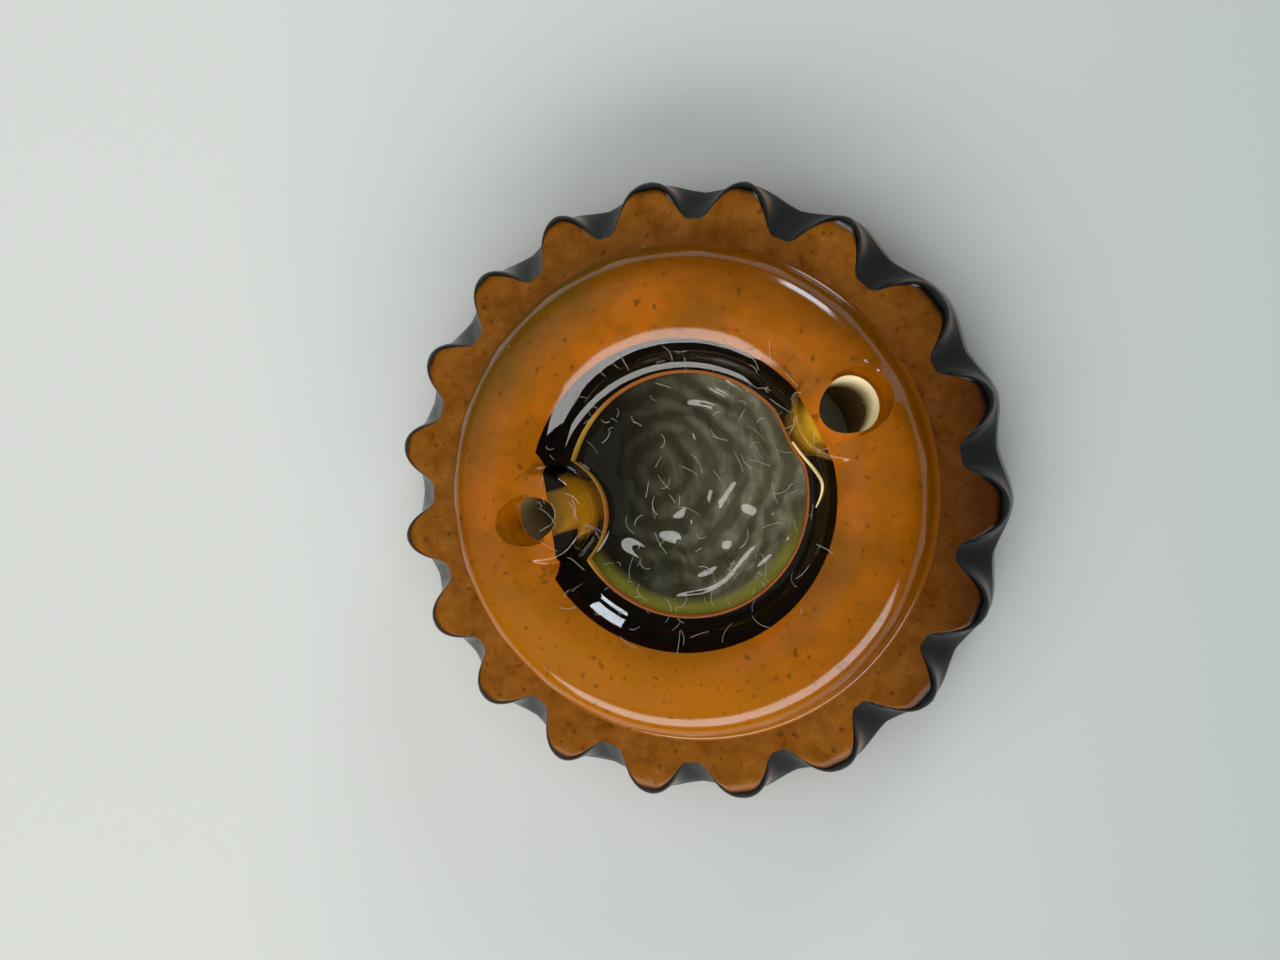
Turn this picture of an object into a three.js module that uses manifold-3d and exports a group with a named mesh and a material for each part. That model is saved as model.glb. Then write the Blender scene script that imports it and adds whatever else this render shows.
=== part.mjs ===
// A carved amber coat button, lying on its front with its back up.
// Millimetres, +Z up. The origin is the middle of the front's rim plane, on which the button rests.
//
// The body is turned from one block: a thick rim with a rounded back edge, a flat land, a raised ring
// and a shallow well. Its front is broadly rounded, with a hollow in the middle. Flutes are filed into
// the rim by hand, so they are uneven. A clear inlay closes the well over the hollow, held by a film of
// cement. Two thread holes run from bosses on the raised ring, down and inward, into the hollow.
import * as THREE from "three";
import { mergeVertices } from "three/addons/utils/BufferGeometryUtils.js";
import Module from "manifold-3d";

// Rim and land
const RIM_RADIUS = 17.0;
const RIM_TOP_Z = 4.9; // where the rounding of the back edge starts
const BACK_ROUNDING = 1.3;
const FRONT_ROUNDING = 2.0;
const LAND_Z = RIM_TOP_Z + BACK_ROUNDING;

// Raised ring, from its foot on the land to its crest
const RING_FOOT_RADIUS = 13.1;
const CREST_RADIUS = 10.3;
const CREST_Z = 8.6;
const RING_FULLNESS = 3; // exponent of the outer side's superellipse; 2 would be an ellipse

// Well: a convex shoulder inside the crest, then a concave fillet down to the inlay
const SHOULDER_ROUNDING = 3.83;
const SHOULDER_END_SLOPE = 50; // degrees
const FILLET_ROUNDING = 1.42;
const FILLET_END_SLOPE = 16; // degrees

// Front: a hollow with a straight wall that runs into a broad rounding, flat from the rest radius outward
const HOLLOW_Z = 5.0;
const HOLLOW_RADIUS = 9.0;
const FRONT_CURVE = 8.8;
const REST_RADIUS = 13.36;

// Clear inlay and its cement
const INLAY_THICKNESS = 1.5;
const CEMENT_THICKNESS = 0.25;
const JOINT_CLEARANCE = 0.1; // between the cement and each of its neighbours

// Flutes: degrees round the rim, counterclockwise from +X
const FLUTE_ANGLES = [
  9, 28, 50, 70, 89, 108.5, 126.5, 145, 163, 181, 198.5, 216, 234, 252.5, 271, 290, 310, 329.5, 349,
];
const FLUTE_ROOT_RADIUS = 14.55; // at the land
const FLUTE_ROOT_WIDTH = 1.35;
const FLUTE_FLARE = 26; // degrees between a flank and the flute's middle line
const FLUTE_SIDE_RADIUS = 16.25; // the floor's radius down the side of the rim
const FLUTE_SIDE_WIDTH = 1.2;
const FLUTE_SIDE_FLARE = 58;
const FLUTE_SLANT_HEIGHT = 2.7; // how far below the land the slanting floor meets the side
const FLUTE_OUTER_RADIUS = RIM_RADIUS + 1.5;
const FLUTE_RUN_OUT = 0.3; // how far the cutters reach over the land

// Thread holes: the middle of each mouth, the way its drill went, and the boss round it
const DRILL_LEAN = 37; // degrees from upright
const THREAD_HOLES = [
  { x: -8.1, y: -1.35, z: 8.15, heading: 17, radius: 1.2, boss: { x: -7.75, y: -1.25, z: 8.4, radius: 3.2 } },
  { x: 9.1, y: 4.95, z: 8.3, heading: 208, radius: 1.5, boss: { x: 8.75, y: 4.7, z: 8.45, radius: 3.4 } },
];
const BOSS_EDGE = 0.7;
const SPOT_FACE_EXTRA = 0.2; // how much wider the faced spot is than its hole

const TURNED_SEGMENTS = 76;
const DRILLED_SEGMENTS = 24;
const ARC_STEPS = 6;
const EDGE_STEPS = 3; // on the small roundings
const FRONT_STEPS = 8;
const CUT_MARGIN = 1; // how far a cutter reaches past the face it cuts

const wasm = await Module();
wasm.setup();

const radians = THREE.MathUtils.degToRad;

// Points on an arc about (x, y), angles in degrees, both ends included.
function arc(x, y, radius, from, to, steps = ARC_STEPS) {
  return Array.from({ length: steps + 1 }, (_, i) => {
    const angle = radians(THREE.MathUtils.lerp(from, to, i / steps));
    return new THREE.Vector2(x + radius * Math.cos(angle), y + radius * Math.sin(angle));
  });
}

// The raised ring's outer side, from its foot up to its crest: a quarter of a superellipse.
function ringOuterSide() {
  return Array.from({ length: ARC_STEPS + 1 }, (_, i) => {
    const angle = (Math.PI / 2) * (i / ARC_STEPS);
    const outward = Math.max(Math.cos(angle), 0) ** (2 / RING_FULLNESS);
    const upward = Math.sin(angle) ** (2 / RING_FULLNESS);
    const radius = CREST_RADIUS + (RING_FOOT_RADIUS - CREST_RADIUS) * outward;
    return new THREE.Vector2(radius, LAND_Z + (CREST_Z - LAND_Z) * upward);
  });
}

// A solid of revolution about +Z from a profile of (radius, height), listed from bottom to top.
function turned(profile, segments = TURNED_SEGMENTS) {
  return new THREE.LatheGeometry(profile, segments).rotateX(Math.PI / 2);
}

function disc(radius, bottomZ, topZ) {
  const profile = [[0, bottomZ], [radius, bottomZ], [radius, topZ], [0, topZ]];
  return turned(profile.map(([r, z]) => new THREE.Vector2(r, z)));
}

// Turns a geometry into a manifold solid: only positions, shared vertices merged, empty triangles dropped.
function solidOf(geometry) {
  const bare = geometry.clone();
  bare.deleteAttribute("normal");
  bare.deleteAttribute("uv");
  const merged = mergeVertices(bare);
  const index = merged.index.array;
  const triangles = [];
  for (let i = 0; i < index.length; i += 3) {
    const [a, b, c] = index.slice(i, i + 3);
    if (a !== b && b !== c && c !== a) triangles.push(a, b, c);
  }
  const vertProperties = new Float32Array(merged.attributes.position.array);
  const triVerts = new Uint32Array(triangles);
  return new wasm.Manifold(new wasm.Mesh({ numProp: 3, vertProperties, triVerts }));
}

function geometryOf(solid) {
  const mesh = solid.getMesh();
  const geometry = new THREE.BufferGeometry();
  geometry.setAttribute("position", new THREE.BufferAttribute(mesh.vertProperties, 3));
  geometry.setIndex(new THREE.BufferAttribute(mesh.triVerts, 1));
  geometry.computeVertexNormals();
  return geometry;
}

// The raised ring's inner side, from the crest down into the well: shoulder, then fillet.
function wellSide() {
  const shoulderZ = CREST_Z - SHOULDER_ROUNDING;
  const shoulder = arc(CREST_RADIUS, shoulderZ, SHOULDER_ROUNDING, 90, 90 + SHOULDER_END_SLOPE);
  const end = shoulder.at(-1);
  const steepest = radians(SHOULDER_END_SLOPE);
  const filletX = end.x - FILLET_ROUNDING * Math.sin(steepest);
  const filletZ = end.y + FILLET_ROUNDING * Math.cos(steepest);
  const fillet = arc(filletX, filletZ, FILLET_ROUNDING, SHOULDER_END_SLOPE - 90, FILLET_END_SLOPE - 90);
  return [...shoulder, ...fillet.slice(1)];
}

const WELL_SIDE = wellSide();
const WELL_RADIUS = WELL_SIDE.at(-1).x;
const WELL_Z = WELL_SIDE.at(-1).y;

// The turned block before its front is hollowed, its flutes filed and its holes drilled.
function turnedBlock() {
  const frontEdge = arc(RIM_RADIUS - FRONT_ROUNDING, FRONT_ROUNDING, FRONT_ROUNDING, -90, 0, EDGE_STEPS);
  const backEdge = arc(RIM_RADIUS - BACK_ROUNDING, RIM_TOP_Z, BACK_ROUNDING, 0, 90);
  const middleBottom = new THREE.Vector2(0, 0);
  const middleTop = new THREE.Vector2(0, WELL_Z);
  const side = [...frontEdge, ...backEdge, ...ringOuterSide(), ...WELL_SIDE.slice(1)];
  return solidOf(turned([middleBottom, ...side, middleTop]));
}

// What is turned out of the front: the hollow, and all that lies under the rounding round it.
function frontCutter() {
  const mouthTurn = THREE.MathUtils.radToDeg(Math.acos((REST_RADIUS - HOLLOW_RADIUS) / FRONT_CURVE));
  const rounding = arc(REST_RADIUS, FRONT_CURVE, FRONT_CURVE, 270, 180 + mouthTurn, FRONT_STEPS);
  const bottom = [new THREE.Vector2(0, -CUT_MARGIN), new THREE.Vector2(REST_RADIUS, -CUT_MARGIN)];
  const top = [new THREE.Vector2(HOLLOW_RADIUS, HOLLOW_Z), new THREE.Vector2(0, HOLLOW_Z)];
  return solidOf(turned([...bottom, ...rounding, ...top]));
}

// A boss, grown by `extra` at its side, with its top edge eased.
function bossSolid(boss, extra = 0) {
  const radius = boss.radius + extra;
  const topEdge = arc(radius - BOSS_EDGE, boss.z - BOSS_EDGE, BOSS_EDGE, 0, 90, EDGE_STEPS);
  const bottom = [new THREE.Vector2(0, 0), new THREE.Vector2(radius, 0)];
  const profile = [...bottom, ...topEdge, new THREE.Vector2(0, boss.z)];
  return solidOf(turned(profile, DRILLED_SEGMENTS).translate(boss.x, boss.y, 0));
}

// The filled middle of the well, `inset` smaller all round, with the bosses kept out of it.
function inlayBlank(inset, bottomZ, topZ) {
  const whole = solidOf(disc(WELL_RADIUS - inset, bottomZ, topZ));
  return THREAD_HOLES.reduce((blank, hole) => blank.subtract(bossSolid(hole.boss, inset)), whole);
}

// Outline of a flute in plan, pointing along +X: a narrow floor with flaring flanks.
function fluteOutline(floorRadius, floorWidth, flare) {
  const half = floorWidth / 2;
  const outerHalf = half + (FLUTE_OUTER_RADIUS - floorRadius) * Math.tan(radians(flare));
  return new THREE.Shape([
    new THREE.Vector2(floorRadius, half),
    new THREE.Vector2(floorRadius, -half),
    new THREE.Vector2(FLUTE_OUTER_RADIUS, -outerHalf),
    new THREE.Vector2(FLUTE_OUTER_RADIUS, outerHalf),
  ]);
}

// A flute is filed in two strokes: a shallow one down the side, and a slanting one off the back edge.
function fluteCutters(angle) {
  const sideOutline = fluteOutline(FLUTE_SIDE_RADIUS, FLUTE_SIDE_WIDTH, FLUTE_SIDE_FLARE);
  const sideHeight = LAND_Z + 2 * FLUTE_RUN_OUT;
  const side = new THREE.ExtrudeGeometry(sideOutline, { depth: sideHeight, bevelEnabled: false });
  side.translate(0, 0, -FLUTE_RUN_OUT);
  const backOutline = fluteOutline(FLUTE_ROOT_RADIUS, FLUTE_ROOT_WIDTH, FLUTE_FLARE);
  const backHeight = LAND_Z + FLUTE_RUN_OUT;
  const back = new THREE.ExtrudeGeometry(backOutline, { depth: backHeight, bevelEnabled: false });
  const slant = (FLUTE_SIDE_RADIUS - FLUTE_ROOT_RADIUS) / FLUTE_SLANT_HEIGHT;
  back.translate(0, 0, -LAND_Z);
  back.applyMatrix4(new THREE.Matrix4().makeShear(0, 0, 0, 0, -slant, 0)).translate(0, 0, LAND_Z);
  return [side, back].map((cutter) => solidOf(cutter.rotateZ(radians(angle))));
}

// A round cutter along a hole's axis, from `above` over the mouth to `below` under it.
function drill(hole, radius, above, below) {
  const cutter = new THREE.CylinderGeometry(radius, radius, above + below, DRILLED_SEGMENTS);
  cutter.translate(0, (above - below) / 2, 0).rotateX(Math.PI / 2);
  cutter.rotateY(-radians(DRILL_LEAN)).rotateZ(radians(hole.heading));
  return solidOf(cutter.translate(hole.x, hole.y, hole.z));
}

// The thread holes are drilled through every piece in their way.
function drilled(solid) {
  const reach = CREST_Z;
  return THREAD_HOLES.reduce((rest, hole) => rest.subtract(drill(hole, hole.radius, reach, reach)), solid);
}

function makeCarvedRing() {
  let ring = turnedBlock();
  for (const hole of THREAD_HOLES) ring = ring.add(bossSolid(hole.boss));
  ring = ring.subtract(frontCutter());
  ring = ring.subtract(inlayBlank(0, HOLLOW_Z - CUT_MARGIN, CREST_Z));
  for (const angle of FLUTE_ANGLES) {
    for (const cutter of fluteCutters(angle)) ring = ring.subtract(cutter);
  }
  for (const hole of THREAD_HOLES) {
    ring = ring.subtract(drill(hole, hole.radius + SPOT_FACE_EXTRA, CREST_Z, 0));
  }
  return geometryOf(drilled(ring));
}

function makeCementFilm() {
  const inset = JOINT_CLEARANCE;
  const outside = inlayBlank(inset, HOLLOW_Z, WELL_Z);
  const inside = inlayBlank(inset + CEMENT_THICKNESS, HOLLOW_Z - CUT_MARGIN, WELL_Z + CUT_MARGIN);
  return geometryOf(drilled(outside.subtract(inside)));
}

function makeClearCentre() {
  const inset = 2 * JOINT_CLEARANCE + CEMENT_THICKNESS;
  return geometryOf(drilled(inlayBlank(inset, HOLLOW_Z, HOLLOW_Z + INLAY_THICKNESS)));
}

function part(name, geometry, colour, roughness) {
  const material = new THREE.MeshStandardMaterial({ color: colour, roughness, metalness: 0 });
  const mesh = new THREE.Mesh(geometry, material);
  mesh.name = name;
  return mesh;
}

const button = new THREE.Group();
button.add(part("carved_ring", makeCarvedRing(), 0xc87210, 0.15));
button.add(part("cement_film", makeCementFilm(), 0xb4521a, 0.35));
button.add(part("clear_centre", makeClearCentre(), 0x7a745a, 0.08));

export default button;
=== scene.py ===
import math

import bmesh
import bpy
import numpy as np
from mathutils import Matrix, Vector


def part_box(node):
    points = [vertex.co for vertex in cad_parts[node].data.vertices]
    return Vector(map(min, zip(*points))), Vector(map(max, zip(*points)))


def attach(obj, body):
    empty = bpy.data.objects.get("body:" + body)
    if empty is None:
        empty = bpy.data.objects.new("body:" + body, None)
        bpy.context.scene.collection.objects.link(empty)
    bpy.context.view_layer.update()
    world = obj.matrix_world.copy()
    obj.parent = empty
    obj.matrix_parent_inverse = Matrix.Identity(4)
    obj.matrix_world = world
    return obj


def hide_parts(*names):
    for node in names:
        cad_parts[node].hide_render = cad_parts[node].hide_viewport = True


# A carved amber button lying on its front on pale paper, seen from its back.
# Named lengths are in millimetres and named angles in degrees; the lamps' lengths are in metres.
# Up is +Z, right is +X and the far side is +Y.

MM = 0.001
BODY = "root"
SEED = 7

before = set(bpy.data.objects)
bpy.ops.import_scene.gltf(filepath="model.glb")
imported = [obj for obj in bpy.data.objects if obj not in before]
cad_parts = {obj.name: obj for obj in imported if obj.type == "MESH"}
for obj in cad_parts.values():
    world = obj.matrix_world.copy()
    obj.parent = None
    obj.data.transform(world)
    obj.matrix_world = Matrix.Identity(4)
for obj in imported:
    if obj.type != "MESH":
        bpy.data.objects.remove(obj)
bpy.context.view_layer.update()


def cad_corners(node):
    """Lowest and highest corner of a CAD node, in millimetres."""
    low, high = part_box(node)
    return low / MM, high / MM


RING_LOW, RING_HIGH = cad_corners("carved_ring")
INLAY_LOW, INLAY_HIGH = cad_corners("clear_centre")

# Rim and land
RIM_RADIUS = (RING_HIGH.y - RING_LOW.y) / 2
RIM_TOP_Z = 4.9
BACK_ROUNDING = 1.3
FRONT_ROUNDING = 2.0
LAND_Z = RIM_TOP_Z + BACK_ROUNDING

# Raised ring
COVE_ROUNDING = 0.3
RING_FOOT_RADIUS = 13.1
CREST_RADIUS = 10.3
CREST_Z = RING_HIGH.z
RING_FULLNESS = 3
SHOULDER_ROUNDING = 3.83
SHOULDER_END_SLOPE = 50
FILLET_ROUNDING = 1.42
FILLET_END_SLOPE = 16

# Front: a hollow under the inlay and round it, whose straight wall runs into a broad rounding
HOLLOW_Z = INLAY_LOW.z
HOLLOW_RADIUS = 9.0
FRONT_CURVE = 8.8
REST_RADIUS = 13.36

# The inlay, the cement round it, and the radius outside which the raised ring is cloudy
INLAY_Z = INLAY_HIGH.z
SWIRL_CENTRE = (-1.6, 1.1)
CEMENT_WIDTH = 0.17
JOINT_GAP = 0.015
CLOUD_RADIUS = 8.4

# Flutes: the floor and flanks of each lean from the side's values to the root's as they climb.
# The reach, to either side of a flute's middle, is in radians.
FLUTE_ANGLES = [
    9, 28, 50, 70, 89, 108.5, 126.5, 145, 163, 181, 198.5, 216, 234, 252.5, 271, 290, 310, 329.5, 349,
]
FLUTE_ROOT_RADIUS = 14.55
FLUTE_ROOT_WIDTH = 1.15
FLUTE_FLARE = 26
FLUTE_SIDE_RADIUS = 16.25
FLUTE_SIDE_WIDTH = 1.2
FLUTE_SIDE_FLARE = 58
FLUTE_SLANT_Z = 3.5
FLUTE_UNEVENNESS = 0.2
FLUTE_ROOT_SOFTNESS = 0.6
FLUTE_REACH = 0.5
TOOTH_TIP_SOFTNESS = 1.1
FAR_OUTSIDE = RIM_RADIUS + 4.0
BROAD_RIPPLE = 0.02
FINE_RIPPLE = 0.004

# Thread holes and the bosses round them; a boss is its x, y, top and radius
DRILL_LEAN = 37
# Heights between which the lower wall of a hole darkens as painted shade.
HOLE_DARK_Z = 6.1
HOLE_UNSHADED_Z = 7.0
HOLE_UPPER_FADE = (-0.1, 0.5)
# The left hole's near-black mouth tones are painted shade; the right hole's pale ones are its drilled wall's
# colour.
HOLES = [
    {
        "x": -8.1, "y": -1.35, "z": 8.15, "heading": 17, "radius": 1.2,
        "boss": (-7.75, -1.25, 8.4, 3.2),
        "mouth_tones": ((0.05, 0.035, 0.012), (0.16, 0.12, 0.05)),
        "upper_tone": (0.5, 0.27, 0.01),
    },
    {
        "x": 9.1, "y": 4.95, "z": 8.3, "heading": 208, "radius": 1.5,
        "boss": (8.75, 4.7, 8.45, 3.4),
        "mouth_tones": ((0.68, 0.58, 0.33), (0.88, 0.8, 0.54)),
        "upper_tone": (0.85, 0.56, 0.06),
    },
]
SPOT_FACE_EXTRA = 0.2
BOSS_EDGE = 0.9
BOSS_SOFTNESS = 0.25
BOSS_FLOOR_Z = 6.0
JOINT_SOFTNESS = 0.9

# Fineness of the meshes
MESH_STEP = 0.01
SAME_PLACE = 0.0001
COLUMNS_PER_FLUTE = 32
ROOF_ROWS = 5
WALL_ROWS = 5
SIDE_ROWS = 22
LAND_ROWS = 12
COVE_ROWS = 6
JOINT_ROWS = 5
FRONT_POINTS = 16
FRONT_EDGE_POINTS = 6
BACK_EDGE_POINTS = 12
STEEP_POINTS = 12
CROWN_POINTS = 18
SHOULDER_POINTS = 30
FILLET_POINTS = 16
STEEP_SHARE = 0.9


# ---------------------------------------------------------------- shapes


def soft_max(a, b, softness):
    """The larger of a and b, blended over `softness` where they are nearly equal."""
    near = np.maximum(softness - np.abs(a - b), 0) / softness
    return np.maximum(a, b) + near**2 * softness / 4


def soft_min(a, b, softness):
    return -soft_max(-a, -b, softness)


def smooth_step(x):
    x = np.clip(x, 0, 1)
    return x * x * (3 - 2 * x)


def wave(x, y, rate_x, rate_y, shift=0.0):
    """A sine wave across the button; its rates are in radians per millimetre."""
    return np.sin(rate_x * x + rate_y * y + shift)


def arc(x, z, radius, start, end, count):
    """Points on an arc of a circle about (x, z), both ends included."""
    angles = np.radians(np.linspace(start, end, count))
    return np.stack([x + radius * np.cos(angles), z + radius * np.sin(angles)], axis=1)


def well_side(shoulder_count, fillet_count):
    """From the crest down into the well: a convex shoulder, then a concave fillet."""
    shoulder_z = CREST_Z - SHOULDER_ROUNDING
    shoulder_end = 90 + SHOULDER_END_SLOPE
    shoulder = arc(CREST_RADIUS, shoulder_z, SHOULDER_ROUNDING, 90, shoulder_end, shoulder_count)
    steepest = math.radians(SHOULDER_END_SLOPE)
    x = shoulder[-1, 0] - FILLET_ROUNDING * math.sin(steepest)
    z = shoulder[-1, 1] + FILLET_ROUNDING * math.cos(steepest)
    start, end = SHOULDER_END_SLOPE - 90, FILLET_END_SLOPE - 90
    fillet = arc(x, z, FILLET_ROUNDING, start, end, fillet_count)
    return np.concatenate([shoulder, fillet[1:]])


WELL_SIDE = well_side(SHOULDER_POINTS, FILLET_POINTS)
WELL_RADIUS, WELL_Z = WELL_SIDE[-1]


def boss_height(x, y, boss):
    """Height of a boss's top and side at (x, y), and the deep floor beyond it."""
    boss_x, boss_y, top_z, radius = boss
    distance = np.hypot(x - boss_x, y - boss_y)
    fall = smooth_step((distance - radius + BOSS_EDGE) / BOSS_EDGE)
    return top_z + (BOSS_FLOOR_Z - top_z) * fall


def well_edge(angles):
    """Radius of the inlay's recess at each angle: a circle, pushed in where a boss stands."""
    edge = np.full(angles.shape, WELL_RADIUS)
    for hole in HOLES:
        boss_x, boss_y, _, radius = hole["boss"]
        along = boss_x * np.cos(angles) + boss_y * np.sin(angles)
        across = boss_x * np.sin(angles) - boss_y * np.cos(angles)
        half_chord = np.sqrt(np.maximum(radius**2 - across**2, 0))
        entry = np.where((np.abs(across) < radius) & (along > 0), along - half_chord, RIM_RADIUS)
        edge = soft_min(edge, entry, JOINT_SOFTNESS)
    return edge


def polish_ripple(x, y):
    """The slight unevenness that hand polishing leaves."""
    broad = wave(x, y, 0.55, 0.9, 1.0) * wave(x, y, 0.8, -0.45)
    fine = wave(x, y, 1.9, 1.3) * wave(x, y, 1.5, -2.1, 0.6)
    return BROAD_RIPPLE * broad + FINE_RIPPLE * fine


def flute_radius(angles, z, rng):
    """Radius of the filed floor or flank at each angle and height, far outside where there is no flute."""
    radius = np.full(np.broadcast(angles, z).shape, FAR_OUTSIDE)
    climb = np.clip((z - FLUTE_SLANT_Z) / (LAND_Z - FLUTE_SLANT_Z), 0, 1)
    for angle in FLUTE_ANGLES:
        depth, width = rng.uniform(-FLUTE_UNEVENNESS, FLUTE_UNEVENNESS, 2)
        turn = (angles - math.radians(angle) + math.pi) % (2 * math.pi) - math.pi
        side = FLUTE_SIDE_RADIUS + depth / 2
        root = FLUTE_ROOT_RADIUS + depth
        floor = side + (root - side) * climb
        floor_width = FLUTE_SIDE_WIDTH + width + (FLUTE_ROOT_WIDTH - FLUTE_SIDE_WIDTH) * climb
        flare = np.radians(FLUTE_SIDE_FLARE + (FLUTE_FLARE - FLUTE_SIDE_FLARE) * smooth_step(climb))
        sideways = np.abs(np.tan(np.clip(turn, -FLUTE_REACH, FLUTE_REACH))) * floor
        flank = floor + (sideways - floor_width / 2) / np.tan(flare)
        flute = soft_max(floor, flank, FLUTE_ROOT_SOFTNESS)
        radius = np.where(np.abs(turn) < FLUTE_REACH, np.minimum(radius, flute), radius)
    return radius


def column_angles():
    """Angles of the mesh's columns, the same number between every two flutes."""
    starts = np.array(FLUTE_ANGLES, dtype=float)
    ends = np.append(starts[1:], starts[0] + 360)
    steps = np.arange(COLUMNS_PER_FLUTE) / COLUMNS_PER_FLUTE
    return np.radians((starts[:, None] + (ends - starts)[:, None] * steps).ravel())


def rows_of(profile, columns):
    """The same profile at every column, as (radius, height) arrays."""
    radius = np.repeat(profile[:, :1], columns, axis=1)
    height = np.repeat(profile[:, 1:], columns, axis=1)
    return radius, height


def front_rows(angles, edge):
    """The hollow's roof and wall and the rounded front, from the inlay's recess out to the flat rest."""
    mouth_turn = math.degrees(math.acos((HOLLOW_RADIUS - REST_RADIUS) / FRONT_CURVE))
    curve = arc(REST_RADIUS, FRONT_CURVE, FRONT_CURVE, -mouth_turn, -90, FRONT_POINTS)
    wall_z = np.linspace(HOLLOW_Z, curve[0, 1], WALL_ROWS + 1)[:-1]
    wall = np.stack([np.full(wall_z.size, curve[0, 0]), wall_z], axis=1)
    radius, height = rows_of(np.concatenate([wall, curve]), angles.size)
    roof_steps = np.linspace(0, 1, ROOF_ROWS + 1)[:-1, None]
    roof_radius = edge - MESH_STEP + (HOLLOW_RADIUS - edge + MESH_STEP) * roof_steps
    roof_height = np.full(roof_radius.shape, HOLLOW_Z)
    return np.vstack([roof_radius, radius]), np.vstack([roof_height, height])


def rim_rows(angles, rng):
    """The rim from the rest over its side to the land, with the flutes cut in."""
    front = arc(RIM_RADIUS - FRONT_ROUNDING, FRONT_ROUNDING, FRONT_ROUNDING, -90, 0, FRONT_EDGE_POINTS)
    side_z = np.linspace(FRONT_ROUNDING, RIM_TOP_Z, SIDE_ROWS + 2)[1:-1]
    side = np.stack([np.full(side_z.size, RIM_RADIUS), side_z], axis=1)
    back = arc(RIM_RADIUS - BACK_ROUNDING, RIM_TOP_Z, BACK_ROUNDING, 0, 90, BACK_EDGE_POINTS)
    radius, height = rows_of(np.concatenate([front, side, back]), angles.size)
    flutes = flute_radius(angles[None, :], height, rng)
    return soft_min(radius, flutes, TOOTH_TIP_SOFTNESS), height


def back_rows(angles, edge, land_edge):
    """The land and the raised ring with its bosses, in to the inlay's recess."""
    foot_height = LAND_Z + COVE_ROUNDING
    ring_width, ring_height = RING_FOOT_RADIUS - CREST_RADIUS, CREST_Z - LAND_Z
    cove = arc(RING_FOOT_RADIUS + COVE_ROUNDING, foot_height, COVE_ROUNDING, 270, 180, COVE_ROWS)
    land_steps = np.linspace(0, 1, LAND_ROWS + 2)[1:-1, None]
    land_radius = land_edge + (cove[0, 0] - land_edge) * land_steps
    steep = np.linspace(COVE_ROUNDING / ring_height, STEEP_SHARE, STEEP_POINTS)[1:]
    crown = 1 - (1 - STEEP_SHARE) * np.linspace(1, 0, CROWN_POINTS)[1:] ** RING_FULLNESS
    rise = np.append(steep, crown)
    outward = (1 - rise**RING_FULLNESS) ** (1 / RING_FULLNESS)
    outer = np.stack([CREST_RADIUS + ring_width * outward, LAND_Z + ring_height * rise], axis=1)
    radius, height = rows_of(np.concatenate([cove, outer]), angles.size)
    radius = np.vstack([land_radius, radius])
    height = np.vstack([np.full(land_radius.shape, LAND_Z), height])
    inward = (CREST_RADIUS - WELL_SIDE[1:, :1]) / (CREST_RADIUS - WELL_RADIUS)
    inner_radius = CREST_RADIUS + (edge - CREST_RADIUS) * inward
    inner_height = np.interp(inner_radius, WELL_SIDE[::-1, 0], WELL_SIDE[::-1, 1])
    radius = np.vstack([radius, inner_radius])
    height = np.vstack([height, inner_height])
    x, y = radius * np.cos(angles), radius * np.sin(angles)
    for hole in HOLES:
        height = soft_max(height, boss_height(x, y, hole["boss"]), BOSS_SOFTNESS)
    polished = smooth_step((RING_FOOT_RADIUS - radius) / ring_width)
    return radius, np.minimum(height + polish_ripple(x, y) * polished, CREST_Z)


def joint_rows(edge, top):
    """The recess's wall, from the back surface's inner edge down to the hollow."""
    steps = np.linspace(0, 1, JOINT_ROWS)[1:-1, None]
    return np.repeat(edge[None, :], steps.size, axis=0), top + (HOLLOW_Z - top) * steps


def grid_mesh(name, points, closed_rows):
    """A mesh from points[row, column]; columns always close on themselves."""
    row_count, column_count = points.shape[:2]
    index = np.arange(row_count * column_count).reshape(row_count, column_count)
    lower = index if closed_rows else index[:-1]
    upper = np.roll(index, -1, axis=0) if closed_rows else index[1:]
    corners = [lower, np.roll(lower, -1, axis=1), np.roll(upper, -1, axis=1), upper]
    faces = np.stack(corners, axis=-1).reshape(-1, 4)
    mesh = bpy.data.meshes.new(name)
    mesh.from_pydata((points.reshape(-1, 3) * MM).tolist(), [], faces.tolist())
    return mesh


def close_ends(mesh):
    """Merges rows that coincide, fills the open ends and faces everything outward."""
    bm = bmesh.new()
    bm.from_mesh(mesh)
    bmesh.ops.remove_doubles(bm, verts=bm.verts, dist=SAME_PLACE * MM)
    bmesh.ops.holes_fill(bm, edges=[edge for edge in bm.edges if edge.is_boundary], sides=0)
    bmesh.ops.recalc_face_normals(bm, faces=bm.faces)
    bm.to_mesh(mesh)
    bm.free()


def face_outward(mesh):
    bm = bmesh.new()
    bm.from_mesh(mesh)
    bmesh.ops.recalc_face_normals(bm, faces=bm.faces)
    bm.to_mesh(mesh)
    bm.free()


def smooth_shading(mesh, sharp_angle):
    mesh.polygons.foreach_set("use_smooth", [True] * len(mesh.polygons))
    mesh.set_sharp_from_angle(angle=math.radians(sharp_angle))


def add_object(name, mesh):
    piece = bpy.data.objects.new(name, mesh)
    bpy.context.scene.collection.objects.link(piece)
    return piece


def polar_points(radius, angles, height):
    return np.stack([radius * np.cos(angles), radius * np.sin(angles), height], axis=-1)


# ---------------------------------------------------------------- materials


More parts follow.
